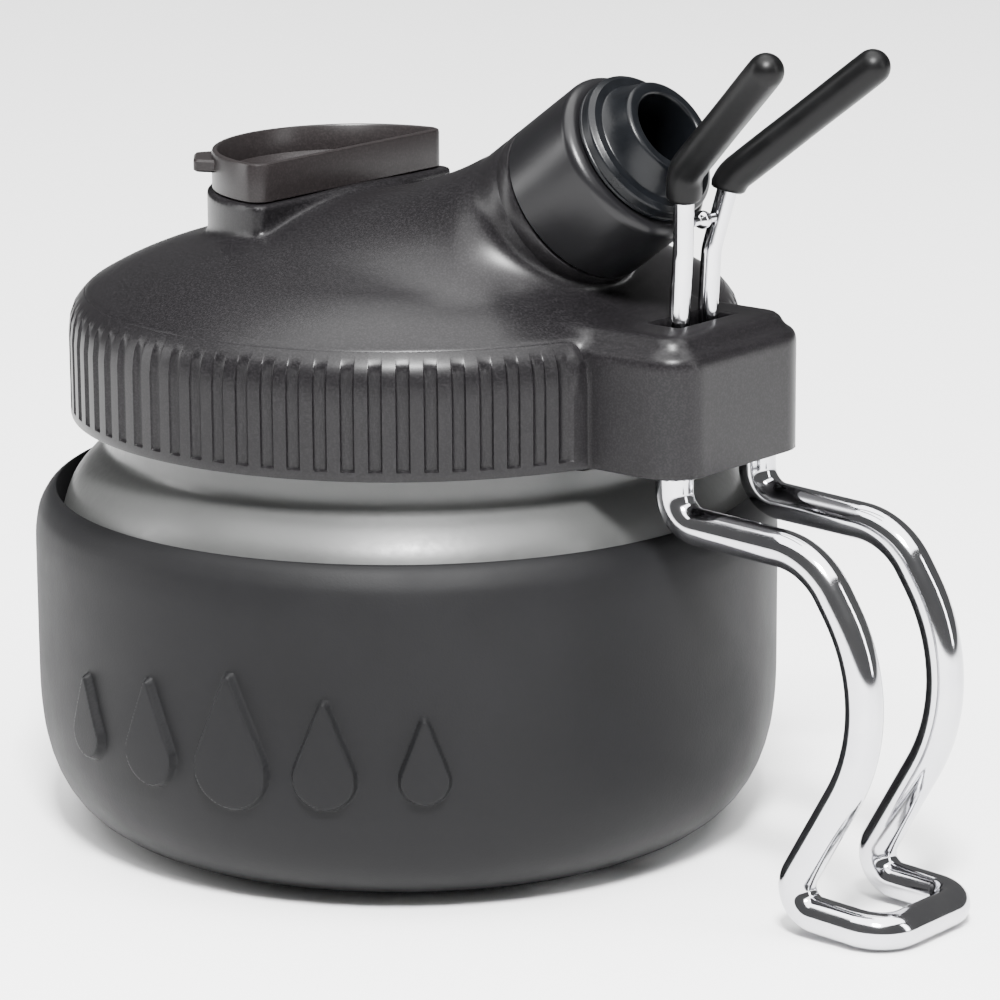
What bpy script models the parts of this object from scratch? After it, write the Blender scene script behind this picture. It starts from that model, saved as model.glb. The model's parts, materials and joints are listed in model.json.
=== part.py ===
"""Airbrush spray-out pot: a glass jar in a soft sleeve, a screw lid with a filtered vent
and an inclined airbrush port, and a wire cradle and wire leg held in a block on the lid.

Metres, +Z up. The origin is the centre of the sleeve's flat base, on the table.
+X points outward along the port, the cradle and the leg; the XZ plane is the symmetry plane.
"""

import math

import bmesh
import bpy
from mathutils import Matrix, Vector

MM = 0.001
GAP = 0.3 * MM          # clearance between pieces that touch
ROUND = 48              # sides of the large turned pieces

# Sleeve and jar
SLEEVE_RADIUS = 59.0 * MM
SLEEVE_WALL = 3.5 * MM
SLEEVE_TOP = 55.3 * MM
SLEEVE_FLOOR = 3.2 * MM
CORNER_RUN = 23.7 * MM       # how far the rounded lower corner reaches in
CORNER_RISE = 28.3 * MM      # and how far up
CORNER_POWER = 2.87          # superellipse exponent of that corner
GLASS = 3.0 * MM
NECK_RADIUS = 47.4 * MM
MOUTH_TOP = 79.5 * MM
MOUTH_CHAMFER = 0.8 * MM
JAR_SHOULDER = [(55.2, 46.5), (54.6, 50.5), (53.5, 54.5), (51.4, 58.0), (49.2, 60.4), (47.9, 62.2)]   # mm

# Screw thread
PITCH = 5.0 * MM
THREAD_TURNS = 1.25
JAR_THREAD_HEIGHT = 1.6 * MM
LID_THREAD_HEIGHT = 2.1 * MM
THREAD_ROOT = 2.0 * MM
THREAD_CREST = 0.9 * MM
THREAD_START = 69.5 * MM
THREAD_SINK = 0.5 * MM       # depth of a ridge's root inside its wall

# Lid
LID_BOTTOM = 67.0 * MM
LID_RADIUS = 52.9 * MM
LID_BORE = 50.4 * MM
GASKET_THICK = 1.7 * MM
LEDGE = MOUTH_TOP + GASKET_THICK + 2 * GAP
LEDGE_RADIUS = 46.2 * MM
CEILING = 85.6 * MM          # where the ledge's bore meets the inside of the dome
DOME_DROP = 2.5 * MM         # thickness of the dome, measured down
DOME_INSET = 1.2 * MM

# Vent chimney and its D-shaped filter cup
VENT_X = -10.5 * MM          # centre of the D's arc
VENT_FLAT_X = -9.3 * MM      # outer face of the chimney's flat side
VENT_RADIUS = 23.1 * MM
VENT_WALL = 2.1 * MM
VENT_TOP = 100.9 * MM
CUP_TOP = 107.2 * MM
CUP_BOTTOM = 80.0 * MM
CUP_RADIUS = 22.3 * MM
CUP_WALL = 1.4 * MM
CUP_FLOOR = 1.6 * MM
TAB_ANGLE = math.radians(222.0)
TAB_TOP = CUP_TOP - 1.2 * MM
TAB_THICK = 2.0 * MM
FOAM_THICK = 6.0 * MM
FIBRE_THICK = 5.0 * MM
GRID_THICK = 1.5 * MM
HOLE_RADIUS = 1.7 * MM       # air holes in the cup's floor and in the grid

# Airbrush port
PORT_ROOT = Vector((33.05 * MM, 0.0, 102.2 * MM))
PORT_TILT = math.radians(36.0)       # axis above the horizontal
PORT_RADIUS = 13.75 * MM
PORT_BORE = 9.2 * MM
NECK_END = 2.55 * MM                 # along the axis from PORT_ROOT
SPIGOT_RADIUS = 11.5 * MM
SPIGOT_END = 12.2 * MM
COLLAR_END = 17.0 * MM
COLLAR_EDGE = 1.6 * MM               # radius of the collar's front edge
COLLAR_LIP = 11.2 * MM
SEAL_ROOT = 10.9 * MM
SEAL_RING = [(11.9, 19.3), (11.06, 20.2)]                                   # mm
SEAL_CONE = [(9.6, 20.3), (8.1, 23.9), (7.5, 24.5), (6.3, 24.5), (6.0, 24.1)]   # mm

# Bracket block on the lid
BRACKET_X = 67.3 * MM
BRACKET_HALF = 16.5 * MM
BRACKET_TOP = 88.2 * MM
BRACKET_STEP = 85.8 * MM
BRACKET_CORNER = 4.5 * MM
BRACKET_BACK = 40.0 * MM

# Wire leg
LEG_WIRE = 5.7 * MM
LEG_HALF = 10.3 * MM
LEG_X = 61.7 * MM
LEG_END = 79.0 * MM

# Wire cradle
PRONG_WIRE = 3.1 * MM
PRONG_X = 57.95 * MM
PRONG_HALF = 3.8 * MM
PRONG_END = 73.0 * MM
GRIP_RADIUS = 2.7 * MM
GRIP_BORE = 1.8 * MM
GRIP_MOUTH = 107.2 * MM              # height of a grip's lower end
SLOT_X = PRONG_X - 1.2 * MM          # slot in the block for both prongs
SLOT_HALF_X = 2.9 * MM
SLOT_HALF_Y = PRONG_HALF + PRONG_WIRE / 2 + 1.2 * MM
SLOT_BOTTOM = 71.5 * MM
LINK_X = 58.9 * MM
LINK_Z = 103.4 * MM
LINK_REACH = 2.6 * MM


def clear_scene():
    for obj in list(bpy.data.objects):
        bpy.data.objects.remove(obj, do_unlink=True)


def make_material(name, colour, roughness, metallic=0.0, transmission=0.0):
    material = bpy.data.materials.new(name)
    material.use_nodes = True
    shader = material.node_tree.nodes["Principled BSDF"]
    shader.inputs["Base Color"].default_value = (*colour, 1.0)
    shader.inputs["Roughness"].default_value = roughness
    shader.inputs["Metallic"].default_value = metallic
    shader.inputs["Transmission Weight"].default_value = transmission
    return material


def add_object(name, mesh_data, material=None):
    mesh = bpy.data.meshes.new(name)
    mesh_data.normal_update()
    mesh_data.to_mesh(mesh)
    mesh_data.free()
    mesh.shade_smooth()
    mesh.set_sharp_from_angle(angle=math.radians(32))
    obj = bpy.data.objects.new(name, mesh)
    bpy.context.scene.collection.objects.link(obj)
    if material:
        mesh.materials.append(material)
    return obj


def make_empty(name, location, rotation=(0.0, 0.0, 0.0)):
    empty = bpy.data.objects.new(name, None)
    empty.location = location
    empty.rotation_euler = rotation
    bpy.context.scene.collection.objects.link(empty)
    return empty


def loft(name, rings, material=None, close_loop=False):
    """Skin over rings of points. The ends are capped, or the last ring joins the first."""
    data = bmesh.new()
    layers = [[data.verts.new(point) for point in ring] for ring in rings]
    pairs = list(zip(layers, layers[1:]))
    if close_loop:
        pairs.append((layers[-1], layers[0]))
    count = len(layers[0])
    for lower, upper in pairs:
        for i in range(count):
            j = (i + 1) % count
            data.faces.new((lower[i], lower[j], upper[j], upper[i]))
    if not close_loop:
        data.faces.new(list(reversed(layers[0])))
        data.faces.new(layers[-1])
    bmesh.ops.recalc_face_normals(data, faces=data.faces)
    return add_object(name, data, material)


def turned(name, profile, material=None, sides=ROUND):
    """Body turned about Z from a closed profile of (radius, height). A radius of 0 is a pole."""
    data = bmesh.new()
    columns = []
    for radius, height in profile:
        if radius == 0:
            columns.append([data.verts.new((0, 0, height))] * sides)
            continue
        turn = [2 * math.pi * i / sides for i in range(sides)]
        columns.append(
            [data.verts.new((radius * math.cos(a), radius * math.sin(a), height)) for a in turn]
        )
    for index, lower in enumerate(columns):
        upper = columns[(index + 1) % len(columns)]
        for i in range(sides):
            j = (i + 1) % sides
            corners = []
            for vert in (lower[i], lower[j], upper[j], upper[i]):
                if vert not in corners:
                    corners.append(vert)
            if len(corners) > 2:
                data.faces.new(corners)
    bmesh.ops.recalc_face_normals(data, faces=data.faces)
    return add_object(name, data, material)


def cut(obj, tool, operation="DIFFERENCE"):
    tool.hide_render = True
    tool.display_type = "WIRE"
    modifier = obj.modifiers.new(tool.name, "BOOLEAN")
    modifier.operation = operation
    modifier.solver = "EXACT"
    modifier.object = tool


def join(obj, tool):
    cut(obj, tool, "UNION")


def arc(centre, radius, start, end, steps):
    """Points (a, b) along an arc, angles in degrees."""
    points = []
    for i in range(steps + 1):
        angle = math.radians(start + (end - start) * i / steps)
        points.append((centre[0] + radius * math.cos(angle), centre[1] + radius * math.sin(angle)))
    return points


def rounded_path(corners, steps=6):
    """Centre line through corners [(point, bend radius)], with an arc at each inner corner."""
    path = [Vector(corners[0][0])]
    for index in range(1, len(corners) - 1):
        corner = Vector(corners[index][0])
        radius = corners[index][1]
        back = (Vector(corners[index - 1][0]) - corner).normalized()
        ahead = (Vector(corners[index + 1][0]) - corner).normalized()
        half = back.angle(ahead) / 2
        centre = corner + (back + ahead).normalized() * radius / math.sin(half)
        first = corner + back * radius / math.tan(half)
        last = corner + ahead * radius / math.tan(half)
        swing = (first - centre).angle(last - centre)
        axis = (first - centre).cross(last - centre).normalized()
        for i in range(steps + 1):
            turn = Matrix.Rotation(swing * i / steps, 3, axis)
            path.append(centre + turn @ (first - centre))
    path.append(Vector(corners[-1][0]))
    return path


def ring_frames(path):
    """A side and an up direction for each point of a path, turned as little as possible."""
    tangents = []
    for index in range(len(path)):
        before = path[max(index - 1, 0)]
        after = path[min(index + 1, len(path) - 1)]
        tangents.append((after - before).normalized())
    side = tangents[0].orthogonal().normalized()
    frames = []
    for index, tangent in enumerate(tangents):
        if index:
            side = tangents[index - 1].rotation_difference(tangent) @ side
        side = (side - tangent * side.dot(tangent)).normalized()
        frames.append((side, tangent.cross(side)))
    return frames


def wire_ring(point, frame, radius, sides):
    side, up = frame
    turn = [2 * math.pi * i / sides for i in range(sides)]
    return [point + side * (radius * math.cos(a)) + up * (radius * math.sin(a)) for a in turn]


def wire(name, path, radius, material, sides=12):
    frames = ring_frames(path)
    rings = [wire_ring(point, frame, radius, sides) for point, frame in zip(path, frames)]
    return loft(name, rings, material)


def sleeve_radius(height, inset=0.0):
    """Outer radius of the sleeve at a height, or that of a surface inset from it."""
    rise = CORNER_RISE - inset
    if height >= CORNER_RISE:
        return SLEEVE_RADIUS - inset
    drop = min((CORNER_RISE - height) / rise, 1.0)
    run = CORNER_RUN * (1 - (1 - drop**CORNER_POWER) ** (1 / CORNER_POWER))
    return SLEEVE_RADIUS - inset - run


def corner_heights(bottom, steps=9):
    """Heights up the rounded corner, closer together near the base."""
    span = CORNER_RISE - bottom
    return [bottom + span * (1 - math.cos(math.pi / 2 * i / steps)) for i in range(steps + 1)]


def build_sleeve(material):
    outer = [(sleeve_radius(h), h) for h in corner_heights(0.0)]
    lip = SLEEVE_WALL / 2
    lip_z = SLEEVE_TOP - lip
    lip_arc = arc((SLEEVE_RADIUS - lip, lip_z), lip, 0, 180, 6)
    inner = [(sleeve_radius(h, SLEEVE_WALL), h) for h in corner_heights(SLEEVE_FLOOR, 7)]
    profile = [(0, 0), *outer, *lip_arc, *reversed(inner), (0, SLEEVE_FLOOR)]
    return turned("sleeve", profile, material)


def jar_outline():
    inset = SLEEVE_WALL + GAP
    base = SLEEVE_FLOOR + GAP
    outer = [(sleeve_radius(h, inset), h) for h in corner_heights(base, 7)]
    outer += [(r * MM, h * MM) for r, h in JAR_SHOULDER]
    outer += [(NECK_RADIUS, 64.0 * MM), (NECK_RADIUS, MOUTH_TOP - MOUTH_CHAMFER)]
    outer += [(NECK_RADIUS - MOUTH_CHAMFER, MOUTH_TOP)]
    return base, outer


def build_jar(material):
    base, outer = jar_outline()
    mouth = NECK_RADIUS - GLASS
    inner = [(mouth, MOUTH_TOP), (mouth, 61.0 * MM), (51.6 * MM, 52.0 * MM)]
    inner += [(52.2 * MM, 46.0 * MM), (52.2 * MM, CORNER_RISE)]
    wall = SLEEVE_WALL + GAP + GLASS
    floor = base + 1.3 * GLASS
    inner += [(sleeve_radius(h, wall), h) for h in reversed(corner_heights(floor, 6)[:-1])]
    jar = turned("jar", [(0, base), *outer, *inner, (0, floor)], material)
    join(jar, thread("jar_thread", NECK_RADIUS, JAR_THREAD_HEIGHT, 1))
    return jar


def thread(name, wall, height, outward):
    """Ridge of a right-handed screw thread standing out of a wall. It fades out at both ends."""
    steps = int(ROUND * THREAD_TURNS)
    root = wall - outward * THREAD_SINK
    rings = []
    for i in range(steps + 1):
        angle = 2 * math.pi * THREAD_TURNS * i / steps
        z = THREAD_START + PITCH * angle / (2 * math.pi)
        fade = min(1.0, 0.3 + 0.7 * min(i, steps - i) / 4)
        reach = root + outward * (THREAD_SINK + height * fade)
        out = Vector((math.cos(angle), math.sin(angle), 0))
        corners = [(root, -THREAD_ROOT), (reach, -THREAD_CREST), (reach, THREAD_CREST), (root, THREAD_ROOT)]
        rings.append([out * r + Vector((0, 0, z + dz / 2)) for r, dz in corners])
    return loft(name, rings)


def build_gasket(material):
    low = MOUTH_TOP + GAP
    high = low + GASKET_THICK
    inner = NECK_RADIUS - GLASS - 0.4 * MM
    outer = LID_BORE - 0.6 * MM
    return turned("lid_gasket", [(inner, low), (outer, low), (outer, high), (inner, high)], material)


def d_outline(radius, flat_x, corner, z, sides=28):
    """D-shaped ring of points: an arc about VENT_X closed by a flat side with round corners."""
    reach = radius - corner
    across = math.sqrt(reach**2 - (flat_x - corner - VENT_X) ** 2)
    lean = math.degrees(math.atan2(across, flat_x - corner - VENT_X))
    points = arc((flat_x - corner, across), corner, 0, lean, 3)
    points += arc((VENT_X, 0), radius, lean, 360 - lean, sides)[1:-1]
    points += arc((flat_x - corner, -across), corner, 360 - lean, 360, 3)
    return [Vector((x, y, z)) for x, y in points]


def d_block(name, radius, flat_x, corner, low, high, material=None):
    rings = [d_outline(radius, flat_x, corner, z) for z in (low, high)]
    return loft(name, rings, material)


def along_port(empty, *pieces):
    for piece in pieces:
        piece.parent = empty


def bracket_ring(inset, z):
    reach = BRACKET_X - inset - BRACKET_CORNER
    side = BRACKET_HALF - inset - BRACKET_CORNER
    points = [(BRACKET_BACK, -side - BRACKET_CORNER)]
    points += arc((reach, -side), BRACKET_CORNER, -90, 0, 5)
    points += arc((reach, side), BRACKET_CORNER, 0, 90, 5)
    points += [(BRACKET_BACK, side + BRACKET_CORNER)]
    return [Vector((x, y, z)) for x, y in points]


def lid_dome(inset=0.0):
    """Outer line of the lid's dome from its shoulder to its centre, as (radius, height)."""
    line = [(52.9, 80.0), (52.6, 82.6), (51.9, 84.4), (50.3, 86.3), (47.9, 87.8), (41.5, 90.8)]
    line += [(35.2, 92.8), (29.0, 94.6), (23.0, 96.5), (16.0, 98.5), (9.0, 99.6), (0.0, 100.0)]
    return [(max(r * MM - inset, 0.0), h * MM) for r, h in line]


def build_lid(material, port):
    lid = turned("lid", [(0, LID_BOTTOM), (LID_RADIUS, LID_BOTTOM), *lid_dome()], material)
    join(lid, d_block("vent_outer", VENT_RADIUS, VENT_FLAT_X, 3.0 * MM, 88 * MM, VENT_TOP))
    neck_outline = [(0, -34 * MM), (PORT_RADIUS + 5 * MM, -34 * MM), (PORT_RADIUS, -14 * MM)]
    neck_outline += [(PORT_RADIUS, NECK_END), (SPIGOT_RADIUS, NECK_END), (SPIGOT_RADIUS, SPIGOT_END)]
    neck = turned("neck_outer", neck_outline + [(0, SPIGOT_END)], sides=36)
    along_port(port, neck)
    join(lid, neck)
    levels = [(0.0, LID_BOTTOM), (0.0, BRACKET_STEP - 0.8 * MM), (0.8, BRACKET_STEP)]
    levels += [(1.4, BRACKET_STEP + 0.4 * MM), (1.7, BRACKET_TOP - 0.6 * MM), (2.6, BRACKET_TOP)]
    join(lid, loft("bracket_outer", [bracket_ring(inset * MM, z) for inset, z in levels]))
    cavity = [(0, 60 * MM), (LID_BORE, 60 * MM), (LID_BORE, LEDGE), (LEDGE_RADIUS, LEDGE)]
    cavity += [(LEDGE_RADIUS - 0.2 * MM, CEILING)]
    cavity += [(r, h - DOME_DROP) for r, h in lid_dome(DOME_INSET)[5:]]
    cut(lid, turned("lid_cavity", cavity))
    inner = VENT_RADIUS - VENT_WALL
    cut(lid, d_block("vent_hole", inner, VENT_FLAT_X - VENT_WALL, 1.6 * MM, 70 * MM, 110 * MM))
    bore_outline = [(0, -40 * MM), (PORT_BORE, -40 * MM), (PORT_BORE, 20 * MM), (0, 20 * MM)]
    bore = turned("port_bore", bore_outline, sides=28)
    along_port(port, bore)
    cut(lid, bore)
    for side in (-1, 1):
        foot = [Vector((LEG_X, side * LEG_HALF, z * MM)) for z in (60, 81)]
        cut(lid, wire(f"leg_socket_{side + 1}", foot, LEG_WIRE / 2 + GAP, None, 16))
    corners = [(-1, -1), (1, -1), (1, 1), (-1, 1)]
    outline = [(SLOT_X + i * SLOT_HALF_X, j * SLOT_HALF_Y) for i, j in corners]
    cut(lid, loft("cradle_slot", [[Vector((x, y, z)) for x, y in outline] for z in (SLOT_BOTTOM, 92 * MM)]))
    ridge = thread("lid_thread", LID_BORE, LID_THREAD_HEIGHT, -1)
    ridge.location.z = PITCH / 2
    join(lid, ridge)
    return lid


def build_cup(material):
    collar_z = VENT_TOP + GAP
    body = VENT_RADIUS - VENT_WALL - 0.4 * MM
    body_flat = VENT_FLAT_X - VENT_WALL - 0.4 * MM
    rim_flat = VENT_FLAT_X - 0.9 * MM
    levels = [(body, body_flat, 1.4, CUP_BOTTOM), (body, body_flat, 1.4, collar_z)]
    levels += [(CUP_RADIUS, rim_flat, 2.4, collar_z), (CUP_RADIUS, rim_flat, 2.4, CUP_TOP)]
    cup = loft("filter_cup", [d_outline(r, x, c * MM, z) for r, x, c, z in levels], material)
    tab = [(0.0, -4.6), (2.9, -3.4), (2.9, 3.4), (0.0, 4.6)]
    tab_rings = []
    for z in (TAB_TOP - TAB_THICK, TAB_TOP):
        ring = []
        for out, across in tab:
            reach = CUP_RADIUS - 0.6 * MM + out * MM
            point = Vector((reach, across * MM, 0))
            ring.append(Matrix.Rotation(TAB_ANGLE, 3, "Z") @ point + Vector((VENT_X, 0, z)))
        tab_rings.append(ring)
    join(cup, loft("cup_tab", tab_rings))
    inner = body - CUP_WALL
    floor = CUP_BOTTOM + CUP_FLOOR
    cut(cup, d_block("cup_hollow", inner, body_flat - CUP_WALL, 1.0 * MM, floor, CUP_TOP + 5 * MM))
    for hole in vent_holes("cup_hole", CUP_BOTTOM - 3 * MM, floor + 3 * MM):
        cut(cup, hole)
    return cup


def vent_holes(name, low, high):
    """Two curved rows of round holes that let air through a D-shaped plate."""
    holes = []
    rows = [(14.0 * MM, 5), (7.0 * MM, 3)]
    for row, (radius, count) in enumerate(rows):
        for i in range(count):
            angle = math.radians(115 + 130 * i / (count - 1))
            x = VENT_X - 1.5 * MM + radius * math.cos(angle)
            y = radius * math.sin(angle)
            path = [Vector((x, y, low)), Vector((x, y, high))]
            holes.append(wire(f"{name}_{row}_{i}", path, HOLE_RADIUS, None, 10))
    return holes


def build_filter_stack(foam_material, fibre_material, grid_material):
    reach = VENT_RADIUS - VENT_WALL - 0.4 * MM - CUP_WALL - GAP
    flat = VENT_FLAT_X - VENT_WALL - 0.4 * MM - CUP_WALL - GAP
    low = CUP_BOTTOM + CUP_FLOOR + GAP
    foam = d_block("filter_foam", reach, flat, 0.9 * MM, low, low + FOAM_THICK, foam_material)
    low += FOAM_THICK + GAP
    fibre = d_block("filter_fibre", reach, flat, 0.9 * MM, low, low + FIBRE_THICK, fibre_material)
    low += FIBRE_THICK + GAP
    grid = d_block("filter_grid", reach, flat, 0.9 * MM, low, low + GRID_THICK, grid_material)
    for hole in vent_holes("grid_hole", low - 2 * MM, low + 4 * MM):
        cut(grid, hole)
    return [foam, fibre, grid]


def build_collar(material, port):
    seat = SPIGOT_RADIUS + GAP
    start = NECK_END + GAP
    front = arc((PORT_RADIUS - COLLAR_EDGE, COLLAR_END - COLLAR_EDGE), COLLAR_EDGE, 0, 90, 4)
    profile = [(seat, start), (PORT_RADIUS, start), *front, (COLLAR_LIP, COLLAR_END)]
    profile += [(COLLAR_LIP, SPIGOT_END + GAP), (seat, SPIGOT_END + GAP)]
    collar = turned("port_collar", profile, material, 36)
    along_port(port, collar)
    return collar


def build_seal(material, port):
    back = SPIGOT_END + 2 * GAP
    flange = COLLAR_END + GAP
    profile = [(8.6 * MM, back), (SEAL_ROOT, back), (SEAL_ROOT, flange), (SEAL_RING[0][0] * MM, flange)]
    profile += [(r * MM, s * MM) for r, s in SEAL_RING + SEAL_CONE]
    seal = turned("port_seal", profile, material, 36)
    along_port(port, seal)
    return seal


def prong_corners(side, tip_z, elbow_z):
    """Corners of one cradle prong, from inside the block up to its tip, with bend radii."""
    return [
        ((PRONG_X, side * PRONG_HALF, PRONG_END), 0),
        ((PRONG_X, side * 3.5 * MM, 92 * MM), 20 * MM),
        ((PRONG_X, side * 3.5 * MM, 98.5 * MM), 8 * MM),
        ((59.8 * MM, side * 5.6 * MM, elbow_z * MM), 5.0 * MM),
        ((82.1 * MM, side * 13.9 * MM, tip_z * MM), 0),
    ]


def build_prong(name, side, tip_z, elbow_z, wire_material, grip_material):
    """One prong and the dipped grip round its outer end."""
    path = rounded_path(prong_corners(side, tip_z, elbow_z), 5)
    end = path[-1]
    ahead = (end - path[-2]).normalized()
    prong = wire(f"prong_{name}", path[:-1] + [end - ahead * 2.6 * MM], PRONG_WIRE / 2, wire_material, 12)
    # The grip starts on the straight rise below the elbow.
    first = next(i for i, point in enumerate(path) if point.z > 101 * MM)
    below = path[first - 1]
    rise = (path[first] - below).normalized()
    mouth = below + rise * ((GRIP_MOUTH - below.z) / rise.z)
    cover = [mouth] + [point for point in path[first:] if point.z > mouth.z + 0.5 * MM]
    frames = ring_frames(cover)
    rings = []
    for i, (point, frame) in enumerate(zip(cover[:-1], frames)):
        radius = GRIP_RADIUS - 0.35 * MM if i == 0 else GRIP_RADIUS
        rings.append(wire_ring(point, frame, radius, 14))
    for back, scale in ((1.6, 1.0), (0.6, 0.86), (0.0, 0.45)):
        rings.append(wire_ring(end - ahead * back * MM, frames[-1], GRIP_RADIUS * scale, 14))
    inner = [wire_ring(point, frame, GRIP_BORE, 14) for point, frame in zip(cover[:-1], frames)]
    inner.append(wire_ring(end - ahead * 2.2 * MM, frames[-1], GRIP_BORE, 14))
    grip = sock(f"grip_{name}", rings, inner, grip_material)
    return prong, grip


def sock(name, outer, inner, material):
    """Tube closed at its far end: an outer skin and an inner skin joined round the mouth."""
    data = bmesh.new()
    outside = [[data.verts.new(point) for point in ring] for ring in outer]
    inside = [[data.verts.new(point) for point in ring] for ring in inner]
    layers = list(reversed(outside)) + inside
    count = len(layers[0])
    for lower, upper in zip(layers, layers[1:]):
        for i in range(count):
            j = (i + 1) % count
            data.faces.new((lower[i], lower[j], upper[j], upper[i]))
    data.faces.new(layers[0])
    data.faces.new(layers[-1])
    bmesh.ops.recalc_face_normals(data, faces=data.faces)
    return add_object(name, data, material)


def build_cradle(wire_material, grip_material):
    pieces = []
    pieces += build_prong("left", -1, 131.0, 111.5, wire_material, grip_material)
    pieces += build_prong("right", 1, 128.4, 109.0, wire_material, grip_material)
    # A thin pin with a bead on its middle, as (share of its half length, radius in mm).
    profile = [(-1.0, 0.7), (-0.55, 0.9), (-0.3, 1.4), (0.3, 1.4), (0.55, 0.9), (1.0, 0.7)]
    frame = (Vector((0, 0, 1)), Vector((1, 0, 0)))
    rings = []
    for share, radius in profile:
        rings.append(wire_ring(Vector((LINK_X, share * LINK_REACH, LINK_Z)), frame, radius * MM, 12))
    pieces.append(loft("prong_link", rings, wire_material))
    return pieces


def build_leg(material):
    """Wire loop: down from the block, out, bowed down to the foot, and back up the other side."""
    line = [
        ((LEG_X, LEG_END), 0),
        ((LEG_X, 59.6 * MM), 5 * MM),
        ((87.5 * MM, 58.4 * MM), 12 * MM),
        ((101.5 * MM, 37 * MM), 27 * MM),
        ((82.3 * MM, 3.9 * MM), 4 * MM),
    ]
    foot = (101.0 * MM, LEG_WIRE / 2)
    near = [((x, -LEG_HALF, z), bend) for (x, z), bend in line]
    far = [((x, LEG_HALF, z), bend) for (x, z), bend in reversed(line)]
    turn = [((foot[0], side * LEG_HALF, foot[1]), 5 * MM) for side in (-1, 1)]
    path = rounded_path(near + turn + far, 7)
    return wire("leg_loop", path, LEG_WIRE / 2, material, 12)


def main():
    clear_scene()
    silicone = make_material("sleeve_silicone", (0.035, 0.036, 0.038), 0.62)
    glass = make_material("jar_glass", (0.62, 0.64, 0.62), 0.35, transmission=0.85)
    lid_plastic = make_material("lid_plastic", (0.060, 0.058, 0.062), 0.38)
    cup_plastic = make_material("cup_plastic", (0.090, 0.078, 0.080), 0.35)
    collar_plastic = make_material("collar_plastic", (0.045, 0.045, 0.048), 0.42)
    rubber = make_material("seal_rubber", (0.018, 0.021, 0.026), 0.45)
    gasket_rubber = make_material("gasket_rubber", (0.10, 0.10, 0.10), 0.6)
    foam = make_material("filter_foam", (0.035, 0.036, 0.038), 0.95)
    fibre = make_material("filter_fibre", (0.75, 0.75, 0.72), 0.95)
    chrome = make_material("chrome", (0.82, 0.82, 0.84), 0.08, metallic=1.0)
    prong_chrome = make_material("prong_chrome", (0.80, 0.80, 0.82), 0.10, metallic=1.0)
    vinyl = make_material("grip_vinyl", (0.012, 0.012, 0.013), 0.33)

    port = make_empty("port_axis", PORT_ROOT, (0, math.pi / 2 - PORT_TILT, 0))
    build_sleeve(silicone)
    build_jar(glass)
    build_gasket(gasket_rubber)
    build_lid(lid_plastic, port)
    build_cup(cup_plastic)
    build_filter_stack(foam, fibre, cup_plastic)
    build_collar(collar_plastic, port)
    build_seal(rubber, port)
    build_cradle(prong_chrome, vinyl)
    build_leg(chrome)


main()
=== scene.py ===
"""Looks of the airbrush spray-out pot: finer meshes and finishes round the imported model.

Lengths of the object are in millimetres, and metres() turns them into scene units. The stage, the
camera and the depth of a bump are in metres.
"""

import json
import math

import bmesh
import bpy
import numpy as np
from mathutils import Matrix, Vector


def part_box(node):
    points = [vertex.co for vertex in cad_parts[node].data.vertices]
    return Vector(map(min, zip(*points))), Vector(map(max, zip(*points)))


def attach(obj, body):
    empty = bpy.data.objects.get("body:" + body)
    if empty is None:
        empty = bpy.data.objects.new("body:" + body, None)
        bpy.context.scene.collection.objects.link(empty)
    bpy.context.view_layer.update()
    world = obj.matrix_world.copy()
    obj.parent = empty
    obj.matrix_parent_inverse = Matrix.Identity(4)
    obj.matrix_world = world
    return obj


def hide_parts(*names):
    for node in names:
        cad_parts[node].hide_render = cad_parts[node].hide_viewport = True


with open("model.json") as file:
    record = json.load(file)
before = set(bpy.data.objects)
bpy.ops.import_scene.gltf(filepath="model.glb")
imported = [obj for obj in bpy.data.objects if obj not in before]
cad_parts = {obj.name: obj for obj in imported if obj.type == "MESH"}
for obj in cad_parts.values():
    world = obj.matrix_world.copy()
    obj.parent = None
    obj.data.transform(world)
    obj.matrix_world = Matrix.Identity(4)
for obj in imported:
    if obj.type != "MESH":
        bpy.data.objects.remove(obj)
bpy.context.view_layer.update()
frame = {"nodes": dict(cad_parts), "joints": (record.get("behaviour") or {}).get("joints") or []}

MM = 0.001


def box_mm(node):
    """Lowest and highest corner of a CAD node in millimetres."""
    return tuple(np.array(corner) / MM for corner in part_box(node))


SLEEVE_HIGH = box_mm("sleeve")[1]
JAR_HIGH = box_mm("jar")[1]
LID_LOW, LID_HIGH = box_mm("lid")
CUP_LOW, CUP_HIGH = box_mm("filter_cup")
COLLAR_TURN = next(joint for joint in frame["joints"] if joint["name"] == "collar_turn")

GAP = 0.3                   # clearance between neighbours
NEAR_AXIS = 0.02            # a turned base is closed by rows that run this near to the axis

# Sleeve and jar
SLEEVE_RADIUS = SLEEVE_HIGH[0]
SLEEVE_WALL = 3.5
SLEEVE_TOP = SLEEVE_HIGH[2]
SLEEVE_FLOOR = 3.2
CORNER_RUN = 23.7           # how far the lower corner comes in
CORNER_RISE = 28.3          # height at which it starts
CORNER_POWER = 2.87         # of its superellipse
GLASS = 3.0                 # the jar's wall
NECK_RADIUS = 47.4
THREAD_START = 69.5
THREAD_PITCH = 5.0
THREAD_TURNS = 1.25
THREAD_HEIGHT = 1.75
THREAD_HALF = 0.85          # half the ridge's width

# The row of raised droplets on the sleeve
MOTIF_MIDDLE = math.radians(-76.0)
MOTIF_STEP = 15.0
MOTIF_FOOT = 23.0
MOTIF_RISE = 1.2
MOTIF_SCALES = (0.75, 0.95, 1.2, 0.95, 0.75)
MOTIF_ROW = 0.3             # spacing of the mesh's rows there
DROP_HEIGHT = 12.0
DROP_RADIUS = 5.2
DROP_TIP = 0.7

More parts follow.
